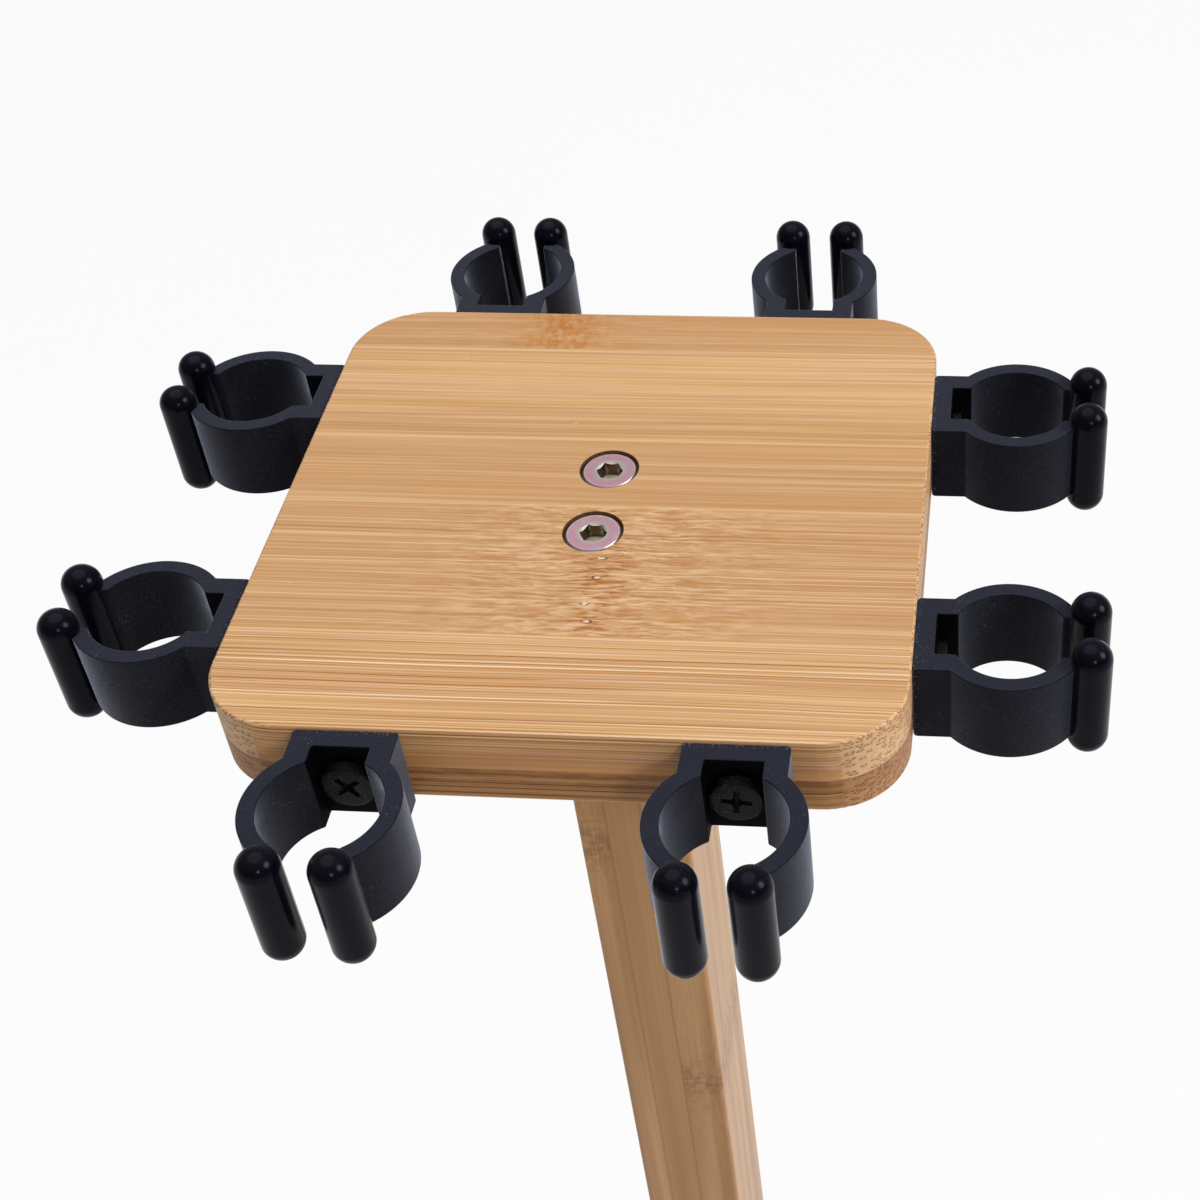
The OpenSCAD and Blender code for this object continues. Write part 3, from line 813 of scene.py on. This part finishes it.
def cross_cutter(head_d, top, depth):
    """Tapered cross that a driver leaves, cut down from z = top, and the pit in its middle."""
    long_top, long_low, wide_top, wide_low = (head_d * share for share in (0.33, 0.17, 0.062, 0.04))
    above = top + 0.5
    cutters = []
    for quarter in (0, 1):
        arm = prism([(sx * long_low, sy * wide_low) for sx, sy in SQUARE], top - depth,
                    [(sx * long_top, sy * wide_top) for sx, sy in SQUARE], above)
        arm.transform(turned("Z", quarter * math.pi / 2))
        cutters.append(arm)
    pit = lathe([(0, top - depth - 0.25), (head_d * 0.12, top), (head_d * 0.135, above), (0, above)], 32)
    return [*cutters, pit]


def wood_screw_mesh(head_d, head_t, d, length, pitch):
    """Cross-head wood screw pointing down, its head's underside at z = 0."""
    r, rim, foot = head_d / 2, SCREW_HEAD_EASE, 0.15
    profile = [(0.0, 0.0), (r - foot, 0.0), (r, foot), (r, head_t - rim)]
    profile += arc(r - rim, head_t - rim, rim, 0, math.pi / 2, 6)[1:]
    profile += [(r * 0.55, head_t), (r * 0.2, head_t), (0.0, head_t)]
    head = cut("screw_head", lathe(profile), cross_cutter(head_d, head_t, head_t * 0.6))
    shank = threaded(d / 2, 0.05, -length, tip=1.5 * d, pitch=pitch, depth=d * 0.13, tip_r=d / 8)
    return joined(head, shank)


def frame_bolt_mesh():
    """Flat-head bolt with a hexagonal socket, pointing down, the top of its head at z = 0."""
    r, shank_r = BOLT_HEAD_D / 2, BOLT_D / 2
    neck = -BOLT_RIM - (r - shank_r)
    profile = [(0.0, neck - 0.1), (shank_r, neck - 0.1), (shank_r, neck), (r, -BOLT_RIM), (r, -BOLT_SLOPE),
               (r - BOLT_SLOPE, 0.0), (r * 0.8, 0.0), (0.0, 0.0)]
    socket = lathe([(0.0, -SOCKET_POINT), (SOCKET_R, -SOCKET_DEPTH), (SOCKET_R, 1.0), (0.0, 1.0)], 6)
    mouth = lathe([(0.0, -MOUTH_EASE), (MOUTH_R - MOUTH_EASE, -MOUTH_EASE), (MOUTH_R, 0.0),
                   (MOUTH_R + MOUTH_EASE, MOUTH_EASE), (0.0, MOUTH_EASE)], 64)
    head = cut("bolt_head", lathe(profile, 128), [socket, mouth], BOLT_SHARP)
    shank = threaded(shank_r, neck + 0.02, -BOLT_L, tip=BOLT_TIP, pitch=BOLT_PITCH, depth=BOLT_THREAD,
                     tip_r=shank_r - BOLT_TIP, segments=64, per_turn=8)
    return joined(head, shank)


def placed(name, source, matrix, materials, node, angle=SHARP):
    """Puts a copy of the source mesh, a bmesh in millimetres, where a CAD node is, and hides that node."""
    bm = source.copy()
    bm.transform(matrix)
    piece = mesh_object(name, bm, angle)
    for material in materials:
        piece.data.materials.append(material)
    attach(piece, "root")
    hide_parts(node)
    return piece


def seat_matrix(i):
    """Row frame from a clip seat's own frame: x along the plate's edge, y out from it."""
    along = (-1 if i % 2 == 0 else 1) * (TOP_W / 2 - CLIP_INSET)
    return turned("Z", math.pi / 2 * (i // 2)) @ moved(along, -TOP_W / 2, 0) @ turned("Z", math.pi)


def build_clips(plastics, screw):
    clip, wood_screw = clip_mesh(), wood_screw_mesh(**CLIP_SCREW)
    clip_z = RACK_H - CLIP_DROP - CLIP_H
    for i, seat in enumerate(SEATS):
        at = seat_matrix(i)
        body = placed("moulded_clip_" + seat, clip, at @ moved(0, 0, clip_z),
                      plastics, "clip_" + seat)
        smooth = body.modifiers.new("even_faces", "WEIGHTED_NORMAL")
        smooth.keep_sharp = True
        driven = turned("X", -math.pi / 2) @ turned("Z", math.radians(-SCREW_TURNS[i]))
        placed("cross_screw_" + seat, wood_screw, at @ moved(0, POCKET_WALL, clip_z + CLIP_H / 2) @ driven,
               [screw], "clip_screw_" + seat)
    clip.free()
    wood_screw.free()


def build_bolts(zinc):
    bolt = frame_bolt_mesh()
    for end, y in (("front", -BOLT_Y), ("rear", BOLT_Y)):
        placed("socket_bolt_top_" + end, bolt, moved(0, y, RACK_H - BOLT_SINK),
               [zinc], "top_bolt_" + end, BOLT_SHARP)
        placed("socket_bolt_base_" + end, bolt, moved(0, y, BASE_Z + BOLT_SINK) @ turned("X", math.pi),
               [zinc], "base_bolt_" + end, BOLT_SHARP)
    bolt.free()


def build_foot_screws(steel):
    screw = wood_screw_mesh(**FOOT_SCREW)
    for corner, (sx, sy) in CORNERS.items():
        at = moved(sx * FOOT_AT, sy * FOOT_AT, FOOT_H / 2)
        placed("cross_screw_foot_" + corner, screw, at @ turned("X", math.pi),
               [steel], "foot_screw_" + corner)
    screw.free()


# Materials on the CAD meshes that stay in sight
def dress(node, material):
    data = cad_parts[node].data
    if len(data.materials) == 0:
        data.materials.append(material)
    for k in range(len(data.materials)):
        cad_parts[node].material_slots[k].material = material


def dress_plate(plate, width, low, glue, high, upper, lower, seed, upper_looks, lower_looks):
    """Both plies of a plate: pale above the glue line, brown with a dark layer below it. low, glue
    and high are heights, upper and lower the slats, and the looks are settings of bamboo."""
    board = Board("bamboo_" + plate + "_upper", GRAIN_X, upper, -width / 2, (high - 2.0, glue + 2.5), seed)
    dress(plate + "_plate_upper_ply", bamboo(board, PALE, **upper_looks))
    board = Board("bamboo_" + plate + "_lower", GRAIN_X, lower, -width / 2, (low + 1.0, glue + 6.0),
                  seed + 200.0)
    dress(plate + "_plate_lower_ply", bamboo(board, BROWN, (glue - 3.5, glue - 5.5), **lower_looks))


def dress_top_plate():
    upper = slats([-43.2, -2.4, 20.7, 54.7, TOP_W / 2], 3,
                  {0: (0.0, 126.0, 0.1, 0.95), 1: (1.0, 3.753, 0.92, 0.42), 2: (0.0, -127.977, 0.95, 0.16),
                   3: (0.0, 123.794, 0.25, 0.26), 4: (0.0, -20.0, 1.0, 0.10)})
    lower = slats([-48.0, -22.0, 3.0, 29.0, 54.0, TOP_W / 2], 5, {0: (0.0, -120.0, 0.3, 1.0)})
    dress_plate("top", TOP_W, RACK_H - TOP_T, RACK_H - TOP_UPPER_T, RACK_H, upper, lower, seed=0.0,
                upper_looks={"bundle": 0.95, "bores": BOLT_HEAD_D / 2 + BOLT_GAP},
                lower_looks={"bundle": 0.78})


def dress_base_plate():
    edges = [-101.0, -76.0, -52.0, -27.0, -2.0, 23.0, 49.0, 74.0, 99.0, BASE_W / 2]
    upper, lower = (slats(edges, seed, reach=(-115, 115)) for seed in (11, 13))
    high = BASE_Z + BASE_T
    dress_plate("base", BASE_W, BASE_Z, high - BASE_UPPER_T, high, upper, lower, seed=400.0,
                upper_looks={}, lower_looks={"bundle": 0.72})


def dress_post():
    rows = slats([-6.2, 2.6, POST_W / 2], 17,
                 {0: (0.25, 96.0, 0.0, 0.03), 1: (0.1, -120.0, 0.75, 0.05), 2: (0.2, -3.0, 0.2, 0.03)})
    board = Board("bamboo_post", GRAIN_Z, rows, -POST_W / 2, (-POST_D / 2, POST_D / 2), 800.0)
    dress("post", bamboo(board, POST, fibre=0.45, coat=0.35))


def dress_small_parts(insert_zinc, rubber):
    for end in ("front", "rear"):
        dress("top_insert_" + end, insert_zinc)
        dress("base_insert_" + end, insert_zinc)
    for corner in CORNERS:
        dress("foot_" + corner, rubber)


# Floor, world and lamps, in metres and watts
def white_to_camera(g, share, shader):
    """Mixes plain white into what the camera and mirrors see, and leaves the light on the object as it is."""
    path = g.node("ShaderNodeLightPath")
    seen = g.highest(path.outputs["Is Camera Ray"], path.outputs["Is Glossy Ray"],
                     path.outputs["Is Transmission Ray"])
    white = g.node("ShaderNodeEmission")
    white.inputs["Strength"].default_value = 1.0
    mixer = g.node("ShaderNodeMixShader")
    g.put(mixer.inputs[0], g.mul(seen, share))
    g.put(mixer.inputs[1], shader)
    g.put(mixer.inputs[2], white.outputs[0])
    g.put(g.out.inputs[0], mixer.outputs[0])


def add_floor(half=12.0):
    g = Graph("floor_pale")
    place, _ = g.place()
    cloud = g.noise(place, scale=0.004)
    shader = g.node("ShaderNodeBsdfPrincipled")
    g.put(shader.inputs["Base Color"], g.mix(cloud, (0.82, 0.82, 0.82, 1.0), (0.86, 0.86, 0.86, 1.0)))
    shader.inputs["Roughness"].default_value = 0.9
    white_to_camera(g, 0.91, shader.outputs[0])
    data = bpy.data.meshes.new("floor")
    data.from_pydata([(sx * half, sy * half, 0) for sx, sy in SQUARE], [], [(0, 1, 2, 3)])
    data.materials.append(g.material)
    floor = bpy.data.objects.new("floor", data)
    bpy.context.scene.collection.objects.link(floor)


def add_world(strength):
    """Plain white where the camera looks past the object, and a soft even light on the object."""
    world = bpy.data.worlds.new("studio")
    world.use_nodes = True
    tree = world.node_tree
    tree.nodes.clear()
    out = tree.nodes.new("ShaderNodeOutputWorld")
    path = tree.nodes.new("ShaderNodeLightPath")
    mixer = tree.nodes.new("ShaderNodeMixShader")
    tree.links.new(path.outputs["Is Camera Ray"], mixer.inputs[0])
    for k, colour, level in ((1, (0.97, 0.98, 1.0, 1.0), strength), (2, (1.0, 1.0, 1.0, 1.0), 1.0)):
        light = tree.nodes.new("ShaderNodeBackground")
        light.inputs["Color"].default_value = colour
        light.inputs["Strength"].default_value = level
        tree.links.new(light.outputs[0], mixer.inputs[k])
    tree.links.new(mixer.outputs[0], out.inputs[0])
    bpy.context.scene.world = world


def add_lamp(name, at, size, power):
    data = bpy.data.lights.new(name, "AREA")
    data.shape, data.size, data.energy = "DISK", size, power
    lamp = bpy.data.objects.new(name, data)
    lamp.location = at
    lamp.rotation_euler = (Vector(LAMP_AIM) - Vector(at)).to_track_quat("-Z", "Y").to_euler()
    bpy.context.scene.collection.objects.link(lamp)


add_camera()
bpy.context.scene.view_settings.view_transform = "Standard"

dress_top_plate()
dress_base_plate()
dress_post()
build_clips(clip_plastics(), black_screw())
build_bolts(bloomed_zinc())
build_foot_screws(plain_zinc("foot_screw_zinc", (0.60, 0.61, 0.63, 1.0), (0.74, 0.75, 0.76, 1.0)))
dress_small_parts(plain_zinc("insert_yellow_zinc", (0.56, 0.44, 0.20, 1.0), (0.70, 0.60, 0.36, 1.0)),
                  foot_rubber())

add_floor()
add_world(strength=0.27)
add_lamp("key_right", (2.4, -0.3, 2.3), size=1.3, power=47.0)
add_lamp("overhead", (-0.3, 0.5, 3.2), size=3.0, power=38.0)
add_lamp("catch_light", (0.50, -1.25, 1.45), size=0.22, power=3.2)
